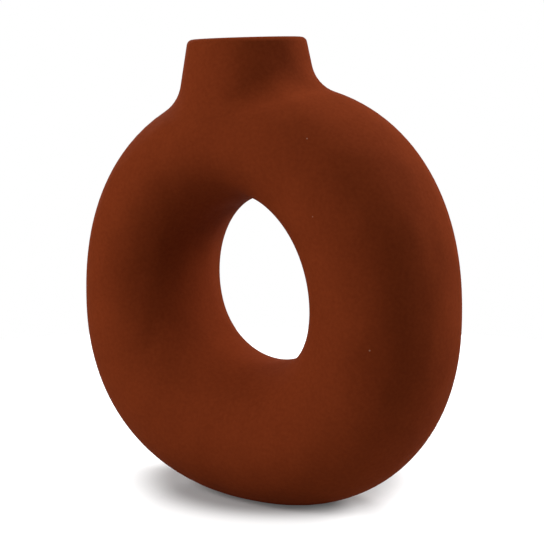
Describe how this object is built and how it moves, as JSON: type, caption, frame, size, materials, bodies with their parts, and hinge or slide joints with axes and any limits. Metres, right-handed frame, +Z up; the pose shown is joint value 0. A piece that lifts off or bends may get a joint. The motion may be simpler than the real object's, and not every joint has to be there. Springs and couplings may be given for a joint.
{
  "type": "donut vase",
  "caption": "Hollow upright clay ring with an egg-shaped opening through it, a small flat foot and a short tapered neck that holds flower stems.",
  "frame": {"origin": "on the surface that the vase stands on, under the middle of its width and depth", "axes": "+Z up through the neck, +X to the right seen from the front, +Y from front to back through the opening"},
  "size_m": [0.2026, 0.084, 0.2309],
  "materials": {
    "clay": "matte fired clay, rust red, fine grain",
    "slip": "matte fired slip, the colour of the clay",
    "glaze": "clear glossy glaze over the clay"
  },
  "bodies": {
    "root": {"front_half": "clay", "back_half": "clay", "neck_collar": "clay", "outer_seam": "slip", "inner_seam": "slip", "neck_seam": "slip", "glaze_lining": "glaze"}
  },
  "joints": []
}
